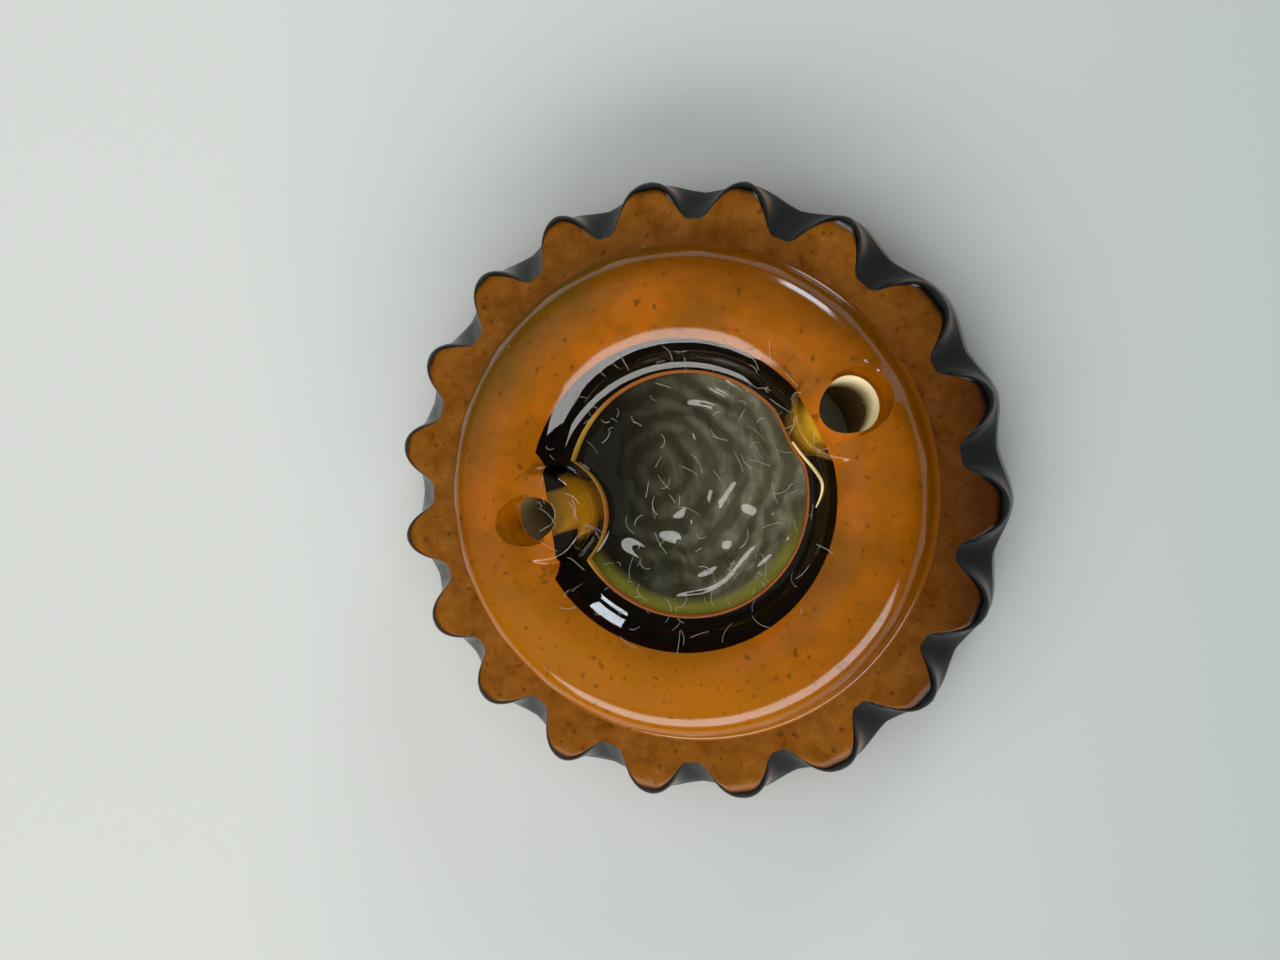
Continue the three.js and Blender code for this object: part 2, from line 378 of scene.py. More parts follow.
class Surface:
    """A Principled material with short calls for the nodes used here.

    The mix node shows only numbered sockets for colours; they are named here.
    """

    MIX_FACTOR, MIX_FROM, MIX_TO, MIX_RESULT = 0, 6, 7, 2

    def __init__(self, name):
        self.material = bpy.data.materials.new(name)
        self.material.use_nodes = True
        self.nodes = self.material.node_tree.nodes
        self.links = self.material.node_tree.links
        self.shader = self.nodes["Principled BSDF"]
        self.output = self.nodes["Material Output"]

    def set(self, **values):
        for name, value in values.items():
            self.shader.inputs[name.replace("_", " ")].default_value = value

    def place(self, scale, centre=(0, 0)):
        """Object coordinates about a centre, in units of `scale` millimetres."""
        coordinates = self.nodes.new("ShaderNodeTexCoord")
        mapping = self.nodes.new("ShaderNodeMapping")
        mapping.inputs["Location"].default_value = (-centre[0] / scale[0], -centre[1] / scale[1], 0)
        mapping.inputs["Scale"].default_value = [1 / (MM * size) for size in scale]
        self.links.new(coordinates.outputs["Object"], mapping.inputs["Vector"])
        return mapping.outputs["Vector"]

    def noise(self, scale, detail=3.0, roughness=0.55, distortion=0.0):
        node = self.nodes.new("ShaderNodeTexNoise")
        node.inputs["Scale"].default_value = 1.0
        node.inputs["Detail"].default_value = detail
        node.inputs["Roughness"].default_value = roughness
        node.inputs["Distortion"].default_value = distortion
        self.links.new(self.place(scale), node.inputs["Vector"])
        return node.outputs["Fac"]

    def remap(self, value, low, high, to_low, to_high):
        node = self.nodes.new("ShaderNodeMapRange")
        self.links.new(value, node.inputs["Value"])
        for name, number in zip(("From Min", "From Max", "To Min", "To Max"), (low, high, to_low, to_high)):
            node.inputs[name].default_value = number
        return node.outputs["Result"]

    def blend(self, value, low_colour, high_colour):
        node = self.nodes.new("ShaderNodeValToRGB")
        node.color_ramp.elements[0].color = (*low_colour, 1)
        node.color_ramp.elements[1].color = (*high_colour, 1)
        self.links.new(value, node.inputs["Fac"])
        return node.outputs["Color"]

    def mix(self, value, low_colour, high_colour):
        """Blends from a node's colour to a fixed one."""
        node = self.nodes.new("ShaderNodeMix")
        node.data_type = "RGBA"
        self.links.new(value, node.inputs[self.MIX_FACTOR])
        self.links.new(low_colour, node.inputs[self.MIX_FROM])
        node.inputs[self.MIX_TO].default_value = (*high_colour, 1)
        return node.outputs[self.MIX_RESULT]

    def separate(self, output):
        """The X, Y and Z of one of the texture coordinates."""
        coordinates = self.nodes.new("ShaderNodeTexCoord")
        node = self.nodes.new("ShaderNodeSeparateXYZ")
        self.links.new(coordinates.outputs[output], node.inputs["Vector"])
        return node.outputs

    def along(self, way):
        """How far a point lies along a direction, in metres."""
        coordinates = self.nodes.new("ShaderNodeTexCoord")
        node = self.nodes.new("ShaderNodeVectorMath")
        node.operation = "DOT_PRODUCT"
        self.links.new(coordinates.outputs["Object"], node.inputs[0])
        node.inputs[1].default_value = way
        return node.outputs["Value"]

    def along_x(self):
        return self.separate("Object")["X"]

    def from_axis(self):
        """Distance from the button's axis, in metres."""
        place = self.separate("Object")
        flat = self.nodes.new("ShaderNodeCombineXYZ")
        length = self.nodes.new("ShaderNodeVectorMath")
        length.operation = "LENGTH"
        self.links.new(place["X"], flat.inputs["X"])
        self.links.new(place["Y"], flat.inputs["Y"])
        self.links.new(flat.outputs["Vector"], length.inputs[0])
        return length.outputs["Value"]

    def times(self, a, b):
        node = self.nodes.new("ShaderNodeMath")
        node.operation = "MULTIPLY"
        self.links.new(a, node.inputs[0])
        self.links.new(b, node.inputs[1])
        return node.outputs["Value"]

    def strokes(self, centre, unit, distortion=9.0, detail=3.0, detail_scale=1.2):
        """Broken rings about a centre, like the strokes of a brush."""
        node = self.nodes.new("ShaderNodeTexWave")
        node.wave_type = "RINGS"
        node.rings_direction = "Z"
        node.inputs["Scale"].default_value = 1.0
        node.inputs["Distortion"].default_value = distortion
        node.inputs["Detail"].default_value = detail
        node.inputs["Detail Scale"].default_value = detail_scale
        self.links.new(self.place((unit, unit, unit), centre), node.inputs["Vector"])
        return node.outputs["Fac"]

    def specks(self, size):
        """0.7 in small scattered spots, 0 between them."""
        return self.remap(self.noise((size, size, size), detail=2), 0.62, 0.72, 0.0, 0.7)

    def slant(self):
        """1 on faces that slant steeply but still face up, 0 on flat and upright ones."""
        upward = self.separate("Normal")["Z"]
        not_flat = self.remap(upward, 0.8, 0.93, 1.0, 0.0)
        not_upright = self.remap(upward, 0.05, 0.25, 0.0, 1.0)
        return self.times(not_flat, not_upright)

    def bump(self, value, height, strength=1.0):
        node = self.nodes.new("ShaderNodeBump")
        node.inputs["Distance"].default_value = height * MM
        node.inputs["Strength"].default_value = strength
        self.links.new(value, node.inputs["Height"])
        self.links.new(node.outputs["Normal"], self.shader.inputs["Normal"])

    def feed(self, value, name):
        self.links.new(value, self.shader.inputs[name])

    def absorb(self, colour, density):
        node = self.nodes.new("ShaderNodeVolumeAbsorption")
        node.inputs["Color"].default_value = (*colour, 1)
        node.inputs["Density"].default_value = density
        self.links.new(node.outputs["Volume"], self.output.inputs["Volume"])


AMBER_TINT = (0.988, 0.79, 0.0)
AMBER_DENSITY = 500
OLIVE_TINT = (0.32, 0.30, 0.08)
OLIVE_DENSITY = 900
PHENOLIC_IOR = 1.6
POLISH_BUMP = 0.0015


def polished_amber():
    surface = Surface("polished_amber")
    surface.set(Base_Color=(1, 1, 1, 1), Transmission_Weight=1.0, IOR=PHENOLIC_IOR, Roughness=0.02)
    surface.absorb(AMBER_TINT, AMBER_DENSITY)
    surface.bump(surface.noise((0.6, 0.6, 0.6)), POLISH_BUMP)
    return surface.material


def turbid_amber():
    """The raised ring: polished, but a little cloudy with age, browner outward, olive at its far left, and
    lifted to a painted glow of light on its near side.
    """
    surface = Surface("turbid_amber")
    surface.set(Transmission_Weight=0.67, IOR=PHENOLIC_IOR, Roughness=0.12, Specular_IOR_Level=0.3)
    surface.absorb(AMBER_TINT, AMBER_DENSITY)
    dull, bright = (0.5, 0.17, 0.0), (1.0, 0.27, 0.0)
    brown, painted_glow, olive, dirt = (0.36, 0.11, 0.0), (1.0, 0.32, 0.0), (0.24, 0.15, 0.01), (0.22, 0.07, 0.0)
    clouds = surface.remap(surface.noise((3.4, 3.4, 3.4), detail=6, roughness=0.6), 0.32, 0.62, 0.0, 1.0)
    outward = surface.remap(surface.from_axis(), 10.4 * MM, 12.9 * MM, 0.0, 0.7)
    lit_side = surface.remap(surface.along((-0.3, -0.95, 0)), 5.5 * MM, 9.5 * MM, 0.0, 0.75)
    far_left = surface.remap(surface.along((-0.75, 0.66, 0)), 9.0 * MM, 12.0 * MM, 0.0, 0.65)
    tone = surface.blend(clouds, dull, bright)
    tone = surface.mix(outward, tone, brown)
    # Painted light: the near side, toward the main window, is blended to a bright orange glow.
    tone = surface.mix(lit_side, tone, painted_glow)
    tone = surface.mix(far_left, tone, olive)
    surface.feed(surface.mix(surface.specks(0.5), tone, dirt), "Base Color")
    surface.bump(surface.noise((0.6, 0.6, 0.6)), POLISH_BUMP)
    return surface.material


def worn_amber():
    """The rim: scuffed where it is flat, with painted shade darkening its right side and painted shade in
    black where a filed face slants down.
    """
    surface = Surface("worn_amber")
    surface.set(Transmission_Weight=0.15, IOR=PHENOLIC_IOR, Specular_IOR_Level=0.05)
    surface.absorb(AMBER_TINT, AMBER_DENSITY)
    dull, bright = (0.14, 0.043, 0.002), (0.27, 0.092, 0.004)
    dirt, right_shade, black = (0.06, 0.02, 0.002), (0.04, 0.01, 0.001), (0.002, 0.002, 0.002)
    scuffs = surface.remap(surface.noise((1.1, 1.1, 1.1), detail=6, roughness=0.65), 0.3, 0.7, 0.0, 1.0)
    right_side = surface.remap(surface.along_x(), 9.5 * MM, 15.5 * MM, 0.0, 0.95)
    tone = surface.blend(scuffs, dull, bright)
    tone = surface.mix(surface.specks(0.45), tone, dirt)
    # Painted shade: the right side darkens, as light falling off across the rim would.
    tone = surface.mix(right_side, tone, right_shade)
    # Painted shade: faces that slant steeply into the flutes are painted near-black.
    surface.feed(surface.mix(surface.slant(), tone, black), "Base Color")
    surface.feed(surface.remap(scuffs, 0.0, 1.0, 0.12, 0.3), "Roughness")
    surface.bump(surface.noise((0.25, 0.25, 0.25), detail=4), 0.004)
    return surface.material


def hollow_shade_amber():
    """The hollow's roof and wall, painted near-black with a faint mottle as shade in the hollow."""
    surface = Surface("hollow_shade_amber")
    surface.set(IOR=PHENOLIC_IOR, Roughness=0.5, Specular_IOR_Level=0.2)
    mottle = surface.noise((1.2, 1.2, 1.2), detail=4)
    surface.feed(surface.blend(mottle, (0.006, 0.005, 0.004), (0.02, 0.017, 0.013)), "Base Color")
    return surface.material


def drilled_amber(hole):
    """The unpolished wall of a thread hole: its upper side has a tone of its own, and its lower side darkens
    with depth in painted shade.
    """
    surface = Surface("drilled_amber")
    surface.set(IOR=PHENOLIC_IOR, Roughness=0.75, Specular_IOR_Level=0.2)
    surface.absorb(AMBER_TINT, AMBER_DENSITY)
    deep_shade = (0.07, 0.045, 0.015)
    tool_marks = surface.noise((0.9, 0.9, 0.22), detail=4)
    # Painted shade: the lower wall darkens toward the deep tone further down the hole.
    depth = surface.remap(surface.separate("Object")["Z"], HOLE_DARK_Z * MM, HOLE_UNSHADED_Z * MM, 1.0, 0.0)
    lower = surface.mix(depth, surface.blend(tool_marks, *hole["mouth_tones"]), deep_shade)
    lean, heading = math.radians(DRILL_LEAN), math.radians(hole["heading"])
    upward = (math.cos(lean) * math.cos(heading), math.cos(lean) * math.sin(heading), math.sin(lean))
    middle = upward[0] * hole["x"] + upward[1] * hole["y"] + upward[2] * hole["z"]
    fade_start, fade_end = (middle + offset for offset in HOLE_UPPER_FADE)
    upper_side = surface.remap(surface.along(upward), fade_start * MM, fade_end * MM, 0.0, 1.0)
    surface.feed(surface.mix(upper_side, lower, hole["upper_tone"]), "Base Color")
    surface.bump(tool_marks, 0.03)
    return surface.material


def clear_phenolic():
    """The inlay: swirled, with painted highlights in pale streaks, painted shade darkening its left, and a
    painted yellow glow round its near edge.
    """
    surface = Surface("clear_phenolic")
    surface.set(Transmission_Weight=0.88, IOR=PHENOLIC_IOR, Roughness=0.02)
    surface.absorb(OLIVE_TINT, OLIVE_DENSITY)
    dull, bright = (0.25, 0.23, 0.11), (1.0, 0.98, 0.66)
    left_shade, green = (0.05, 0.042, 0.02), (1.0, 0.92, 0.12)
    drift = surface.noise((1.5, 2.6, 2.0), detail=4, roughness=0.6, distortion=1.8)
    clouds = surface.remap(drift, 0.3, 0.6, 0.15, 1.0)
    strokes = surface.remap(surface.strokes(SWIRL_CENTRE, 4.4), 0.2, 0.9, 0.25, 1.0)
    shaded_left = surface.remap(surface.along_x(), -4.0 * MM, 3.5 * MM, 1.0, 0.0)
    lit_side = surface.remap(surface.along((0.2, -0.98, 0)), 1.5 * MM, 4.0 * MM, 0.0, 1.0)
    outward = surface.remap(surface.from_axis(), 5.6 * MM, 6.1 * MM, 0.0, 1.0)
    # Painted highlights: the pale broken rings and clouds stand in for streaks of reflected light.
    tone = surface.blend(surface.times(clouds, strokes), dull, bright)
    # Painted shade: the left side is blended dark.
    tone = surface.mix(shaded_left, tone, left_shade)
    # Painted light: a bright yellow glow round the inlay's edge on its near side.
    surface.feed(surface.mix(surface.times(outward, lit_side), tone, green), "Base Color")
    surface.bump(surface.noise((0.5, 0.5, 0.5)), POLISH_BUMP)
    return surface.material


def cement():
    """Orange, and yellow toward its left end."""
    surface = Surface("cement")
    surface.set(Transmission_Weight=0.3, IOR=PHENOLIC_IOR, Roughness=0.4, Specular_IOR_Level=0.2)
    dull, bright, yellow = (0.3, 0.07, 0.008), (0.48, 0.15, 0.012), (0.5, 0.28, 0.02)
    toward_left = surface.remap(surface.along_x(), -5.2 * MM, -4.2 * MM, 1.0, 0.0)
    tone = surface.blend(surface.noise((0.8, 0.8, 0.8)), dull, bright)
    surface.feed(surface.mix(toward_left, tone, yellow), "Base Color")
    return surface.material


def pale_fibre():
    surface = Surface("pale_fibre")
    surface.set(Roughness=0.7, Specular_IOR_Level=0.3)
    shade = surface.noise((1.5, 1.5, 1.5))
    surface.feed(surface.blend(shade, (0.3, 0.28, 0.23), (0.75, 0.73, 0.68)), "Base Color")
    return surface.material


def swarf_amber():
    surface = Surface("swarf_amber")
    surface.set(Roughness=0.5, IOR=PHENOLIC_IOR)
    shade = surface.noise((0.4, 0.4, 0.4))
    surface.feed(surface.blend(shade, (0.6, 0.42, 0.12), (0.8, 0.66, 0.34)), "Base Color")
    return surface.material


def dust():
    surface = Surface("dust")
    surface.set(Roughness=0.9)
    shade = surface.noise((2.0, 2.0, 2.0))
    surface.feed(surface.blend(shade, (0.02, 0.015, 0.01), (0.25, 0.2, 0.14)), "Base Color")
    return surface.material


def paper():
    surface = Surface("paper")
    surface.set(Roughness=0.85, Specular_IOR_Level=0.25)
    # Painted shade: the paper darkens from left to right, standing in for light that falls off across it.
    across = surface.remap(surface.along_x(), -30 * MM, 35 * MM, 0.0, 1.0)
    surface.feed(surface.blend(across, (0.53, 0.55, 0.53), (0.385, 0.425, 0.43)), "Base Color")
    surface.bump(surface.noise((0.4, 0.4, 0.4), detail=4), 0.02, strength=0.3)
    return surface.material


# ---------------------------------------------------------------- pieces


DRILL_SIDES = 64
DRILL_RINGS = 40
DRILL_WOBBLE = 0.004
WOBBLE_RATE = 9.0
DRILL_START = -4.0
DRILL_END = 9.0
SPOT_START = -3.0


def drill_cutter(hole, radius, start, end, finish):
    """A round bar along a hole's axis, `start` to `end` from its mouth, whose surface carries a finish."""
    lean, heading = math.radians(DRILL_LEAN), math.radians(hole["heading"])
    way = Vector((math.sin(lean) * math.cos(heading), math.sin(lean) * math.sin(heading), -math.cos(lean)))
    sides = np.linspace(0, 2 * math.pi, DRILL_SIDES, endpoint=False)
    reach = np.linspace(start, end, DRILL_RINGS)[:, None]
    wobble = radius * (1 + DRILL_WOBBLE * np.sin(reach * WOBBLE_RATE))
    across = way.cross(Vector((0, 0, 1))).normalized()
    upward = across.cross(way)
    middle = np.array([hole["x"], hole["y"], hole["z"]]) + reach[..., None] * np.array(way)
    spread = np.cos(sides)[:, None] * np.array(across) + np.sin(sides)[:, None] * np.array(upward)
    mesh = grid_mesh("drill", middle + wobble[..., None] * spread[None, :, :], closed_rows=False)
    close_ends(mesh)
    mesh.materials.append(finish)
    return add_object("drill", mesh)


def cut(piece, cutter):
    """Cuts a piece's mesh with another object, which is then removed."""
    modifier = piece.modifiers.new("cut", "BOOLEAN")
    modifier.operation = "DIFFERENCE"
    modifier.solver = "EXACT"
    modifier.material_mode = "TRANSFER"
    modifier.object = cutter
    evaluated = piece.evaluated_get(bpy.context.evaluated_depsgraph_get())
    mesh = bpy.data.meshes.new_from_object(evaluated)
    piece.modifiers.clear()
    old, piece.data = piece.data, mesh
    bpy.data.meshes.remove(old)
    bpy.data.objects.remove(cutter)


SLIVER_SIZE = 0.003


def clear_slivers(mesh):
    """Removes the slivers and folded faces that a cut leaves."""
    bm = bmesh.new()
    bm.from_mesh(mesh)
    many_sided = [face for face in bm.faces if len(face.verts) > 4]
    bmesh.ops.triangulate(bm, faces=many_sided)
    bmesh.ops.remove_doubles(bm, verts=bm.verts, dist=SLIVER_SIZE * MM)
    bmesh.ops.dissolve_degenerate(bm, edges=bm.edges, dist=SLIVER_SIZE * MM)
    bm.to_mesh(mesh)
    bm.free()


# The ring's materials, in the order of its slots
CLEAR, HOLLOW_SHADE, WORN, TURBID = range(4)


def make_ring():
    """The amber body as one closed surface, before the thread holes are cut."""
    rng = np.random.default_rng(SEED)
    angles = column_angles()
    edge = well_edge(angles)
    front_radius, front_height = front_rows(angles, edge)
    rim_radius, rim_height = rim_rows(angles, rng)
    back_radius, back_height = back_rows(angles, edge, rim_radius[-1])
    joint_radius, joint_height = joint_rows(edge, back_height[-1])
    radius = np.vstack([front_radius, rim_radius, back_radius, joint_radius])
    height = np.vstack([front_height, rim_height, back_height, joint_height])
    mesh = grid_mesh("amber_ring", polar_points(radius, angles, height), closed_rows=True)
    face_outward(mesh)
    for material in (polished_amber(), hollow_shade_amber(), worn_amber(), turbid_amber()):
        mesh.materials.append(material)
    rim_start = len(front_radius)
    ring_start = rim_start + len(rim_radius) + LAND_ROWS
    clear_start = len(radius) - len(joint_radius) - int(np.sum(WELL_SIDE[:, 0] < CLOUD_RADIUS))
    face_rows = np.repeat(np.arange(len(radius)), angles.size)
    zones = np.full(face_rows.size, CLEAR, dtype=np.int32)
    # The hollow's roof and wall take the painted shade.
    zones[face_rows < ROOF_ROWS + WALL_ROWS] = HOLLOW_SHADE
    zones[(face_rows >= rim_start) & (face_rows < ring_start)] = WORN
    zones[(face_rows >= ring_start) & (face_rows < clear_start)] = TURBID
    mesh.polygons.foreach_set("material_index", zones)
    ring = add_object("amber_ring", mesh)
    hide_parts("carved_ring")
    return ring


INLAY_COLUMNS = 240
INLAY_RINGS = 64
INLAY_EYE = 0.01
BOTTOM_STEP = 4
INLAY_SINK = 0.1
LIP_START = 0.94
LIP_HEIGHT = 0.08
SWIRL_PITCH = 1.15
SWIRL_DEPTH = 0.115
SWIRL_TWIST = 0.35
SWIRL_EYE = 0.8
SWIRL_FADE = 1.6
SWIRL_LEFT = -2.0
SWIRL_SPREAD = 3.0
BROAD_WAVE = 0.10
FINE_WAVE = 0.012
DENT_SKEW = 0.4
DENT_SQUASH = 0.9
# Each dent is its x, y, radius and depth
DENTS = [
    (0.35, 2.75, 0.45, 0.27), (0.3, 2.1, 0.45, 0.28), (0.4, 1.45, 0.45, 0.28), (0.55, 0.8, 0.45, 0.28),
    (0.8, 0.15, 0.45, 0.27), (1.3, -0.8, 0.6, 0.36), (-2.9, -3.9, 1.05, 0.68), (-0.9, -3.1, 0.75, 0.48),
    (1.9, -3.0, 0.5, 0.28), (3.4, -1.2, 0.5, 0.28), (-0.2, -1.6, 0.4, 0.24),
]


def inlay_height(x, y):
    """The inlay's wavy back: a shallow swirl of ridges on its right, dents, and soft waves all over."""
    from_swirl = np.hypot(x - SWIRL_CENTRE[0], y - SWIRL_CENTRE[1])
    turn = np.arctan2(y - SWIRL_CENTRE[1], x - SWIRL_CENTRE[0])
    stray = 0.25 * wave(x, y, 1.1, 0.7) + 0.12 * wave(x, y, -1.7, 2.9)
    ridges = np.sin(2 * math.pi * (from_swirl + SWIRL_TWIST * turn + stray) / SWIRL_PITCH)
    patches = smooth_step(0.65 + 0.5 * wave(x, y, 0.9, -1.3, 0.8) + 0.35 * wave(x, y, 0.6, 1.7))
    outside_eye = smooth_step((from_swirl - SWIRL_EYE) / SWIRL_FADE)
    reach = outside_eye * smooth_step((x - SWIRL_LEFT) / SWIRL_SPREAD) * patches
    broad = wave(x, y, 0.55, -0.4, 0.4) * wave(x, y, 0.35, 0.6, -0.5)
    fine = wave(x, y, 2.1, 1.1) * wave(x, y, 1.3, -2.4)
    height = INLAY_Z - INLAY_SINK + SWIRL_DEPTH * ridges * reach + BROAD_WAVE * broad + FINE_WAVE * fine
    for dent_x, dent_y, radius, depth in DENTS:
        along, across = (x - dent_x) + DENT_SKEW * (y - dent_y), (y - dent_y) * DENT_SQUASH
        height = height - depth * np.exp(-(along**2 + across**2) / radius**2)
    return height


def make_inlay():
    """The inlay: a flat bottom, an upright wall and the wavy back."""
    angles = np.radians(np.linspace(0, 360, INLAY_COLUMNS, endpoint=False))
    edge = well_edge(angles) - CEMENT_WIDTH - 2 * JOINT_GAP
    inward = np.linspace(1, INLAY_EYE, INLAY_RINGS)[:, None]
    radius = edge * inward
    x, y = radius * np.cos(angles), radius * np.sin(angles)
    lip = smooth_step((inward - LIP_START) / (1 - LIP_START))
    top = inlay_height(x, y) + LIP_HEIGHT * lip
    wall_z = np.linspace(HOLLOW_Z, float(np.median(top[0])), JOINT_ROWS)[1:-1]
    wall_radius = np.repeat(edge[None, :], wall_z.size, axis=0)
    wall_height = np.repeat(wall_z[:, None], angles.size, axis=1)
    bottom_radius = edge * inward[::-BOTTOM_STEP]
    bottom_height = np.full(bottom_radius.shape, HOLLOW_Z)
    all_radius = np.vstack([bottom_radius, edge[None, :], wall_radius, radius])
    edge_bottom = np.full((1, angles.size), HOLLOW_Z)
    all_height = np.vstack([bottom_height, edge_bottom, wall_height, top])
    mesh = grid_mesh("clear_inlay", polar_points(all_radius, angles, all_height), closed_rows=False)
    close_ends(mesh)
    mesh.materials.append(clear_phenolic())
    inlay = add_object("clear_inlay", mesh)
    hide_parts("clear_centre")
    return inlay


CEMENT_COLUMNS = 360
CEMENT_CROWN = 0.02
CEMENT_SLOPE = 0.1


def make_cement():
    """The cement: a thin upright band between the inlay and the body, with a low crown."""
    angles = np.radians(np.linspace(0, 360, CEMENT_COLUMNS, endpoint=False))
    outer = well_edge(angles) - JOINT_GAP
    inner = outer - CEMENT_WIDTH
    low, high = HOLLOW_Z, WELL_Z
    radius = np.stack([inner, outer, outer, (inner + outer) / 2, inner])
    heights = np.array([low, low, high, high + CEMENT_CROWN, high - CEMENT_SLOPE])
    height = np.repeat(heights[:, None], angles.size, axis=1)
    mesh = grid_mesh("cement_line", polar_points(radius, angles, height), closed_rows=True)
    face_outward(mesh)
    mesh.materials.append(cement())
    line = add_object("cement_line", mesh)
    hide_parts("cement_film")
    return line


def surface_height(x, y):
    """Height of the button's back inside the land at (x, y)."""
    radius, angle = np.hypot(x, y), np.arctan2(y, x)
    if radius < float(well_edge(np.array([angle]))[0]):
        return float(inlay_height(x, y))
    reach = min(max((radius - CREST_RADIUS) / (RING_FOOT_RADIUS - CREST_RADIUS), 0), 1)
    outside = LAND_Z + (CREST_Z - LAND_Z) * (1 - reach**RING_FULLNESS) ** (1 / RING_FULLNESS)
    inside = float(np.interp(radius, WELL_SIDE[::-1, 0], WELL_SIDE[::-1, 1]))
    height = outside if radius > CREST_RADIUS else inside
    for hole in HOLES:
        height = float(soft_max(height, boss_height(x, y, hole["boss"]), BOSS_SOFTNESS))
    return height


def tube(bm, path, radii, sides, flatness=1.0):
    """Adds a closed thin tube along a path of points."""
    rings = []
    for i, point in enumerate(path):
        along = (path[min(i + 1, len(path) - 1)] - path[max(i - 1, 0)]).normalized()
        across = along.cross(Vector((0, 0, 1))).normalized()
        upward = across.cross(along)
        ring = []
        for k in range(sides):
            turn = 2 * math.pi * k / sides
            offset = across * math.cos(turn) + upward * math.sin(turn) * flatness
            ring.append(bm.verts.new((point + offset * radii[i]) * MM))
        rings.append(ring)
    for low, high in zip(rings, rings[1:]):
        for k in range(sides):
            bm.faces.new((low[k], low[(k + 1) % sides], high[(k + 1) % sides], high[k]))
    bm.faces.new(rings[0][::-1])
    bm.faces.new(rings[-1])


def finish_detail(name, bm, material):
    """Makes a smooth-shaded object of a filled bmesh, which is freed."""
    bmesh.ops.recalc_face_normals(bm, faces=bm.faces)
    mesh = bpy.data.meshes.new(name)
    bm.to_mesh(mesh)
    bm.free()
    mesh.polygons.foreach_set("use_smooth", [True] * len(mesh.polygons))
    mesh.materials.append(material)
    return add_object(name, mesh)


FIBRE_COUNT = 150
FIBRE_RADIUS = 0.0105
FIBRE_SPREAD = 8.6
FIBRE_POINTS = 9
FIBRE_LIFT = 0.05
FIBRE_BEND = 0.55
FIBRE_TURN = 0.3
FIBRE_STEP_RANGE = (0.04, 0.17)
FIBRE_THICKNESS_RANGE = (0.6, 1.1)


def make_lint():
    """Short curved fibres that lie in the well and on its sides."""
    rng = np.random.default_rng(SEED + 1)
    bm = bmesh.new()
    for _ in range(FIBRE_COUNT):
        radius, angle = FIBRE_SPREAD * math.sqrt(rng.uniform()), rng.uniform(0, 2 * math.pi)
        x, y = radius * math.cos(angle), radius * math.sin(angle)
        heading, bend = rng.uniform(0, 2 * math.pi), rng.normal(0, FIBRE_BEND)
        step = rng.uniform(*FIBRE_STEP_RANGE)
        path = []
        for i in range(FIBRE_POINTS):
            lift = FIBRE_RADIUS + FIBRE_LIFT * math.sin(math.pi * i / (FIBRE_POINTS - 1))
            path.append(Vector((x, y, min(surface_height(x, y) + lift, CREST_Z - FIBRE_RADIUS))))
            x += step * math.cos(heading)
            y += step * math.sin(heading)
            heading += bend * FIBRE_TURN
        tube(bm, path, [FIBRE_RADIUS * rng.uniform(*FIBRE_THICKNESS_RANGE)] * len(path), sides=4)
    return finish_detail("lint_fibres", bm, pale_fibre())


# The curl's route: x, y and height above the button
SWARF_ROUTE = [
    (5.7, 3.0, 0.25), (6.3, 2.2, 0.3), (7.0, 1.5, 0.3), (7.5, 0.85, 0.2), (7.4, 0.2, 0.12), (7.0, -0.6, 0.08),
]
SWARF_POINTS = 40
SWARF_SMOOTHING = 3
SWARF_END_WIDTH = 0.02
SWARF_SWELLING = 0.07
SWARF_FLATNESS = 0.45


def make_swarf():
    """The curl of swarf left by the drill beside the larger hole."""
    knots = np.array(SWARF_ROUTE)
    at = np.linspace(0, len(knots) - 1, SWARF_POINTS)
    x, y, lift = (np.interp(at, np.arange(len(knots)), knots[:, k]) for k in range(3))
    window = 2 * SWARF_SMOOTHING + 1
    smooth = np.ones(window) / window
    x, y = (np.convolve(np.pad(v, SWARF_SMOOTHING, mode="edge"), smooth, mode="valid") for v in (x, y))
    path = [Vector((a, b, surface_height(a, b) + c)) for a, b, c in zip(x, y, lift)]
    width = SWARF_SWELLING * np.sin(np.linspace(0.5, math.pi - 0.15, len(path))) + SWARF_END_WIDTH
    bm = bmesh.new()
    tube(bm, path, width, sides=8, flatness=SWARF_FLATNESS)
    return finish_detail("swarf_curl", bm, swarf_amber())


SPECK_COUNT = 150
SPECK_CLEARANCE = 6.5
SPECK_SPREAD = (9.0, 15.4)
SPECK_SIZE_RANGE = (0.02, 0.055)
SPECK_LENGTH_RANGE = (0.6, 1.6)
SPECK_FLATNESS = 0.5


def make_specks():
    """Grains of dust on the land, the teeth and the raised ring."""
    rng = np.random.default_rng(SEED + 2)
    bm = bmesh.new()
    for _ in range(SPECK_COUNT):
        radius, angle = rng.uniform(*SPECK_SPREAD), rng.uniform(0, 2 * math.pi)
        from_flute = min(abs((math.degrees(angle) - flute + 180) % 360 - 180) for flute in FLUTE_ANGLES)
        if radius > FLUTE_ROOT_RADIUS - FLUTE_UNEVENNESS and from_flute < SPECK_CLEARANCE:
            continue
        x, y = radius * math.cos(angle), radius * math.sin(angle)
        size = rng.uniform(*SPECK_SIZE_RANGE) * MM
        place = Matrix.Translation(Vector((x, y, min(surface_height(x, y), CREST_Z - size / MM))) * MM)
        shape = Matrix.Diagonal((size * rng.uniform(*SPECK_LENGTH_RANGE), size, size * SPECK_FLATNESS, 1))
        turn = Matrix.Rotation(rng.uniform(0, math.pi), 4, "Z")
        bmesh.ops.create_icosphere(bm, subdivisions=1, radius=1.0, matrix=place @ turn @ shape)
    return finish_detail("dust_specks", bm, dust())


# ---------------------------------------------------------------- stage


FLOOR_GAP = 0.04
FLOOR_REACH = 1200
FLOOR_LINES = 33


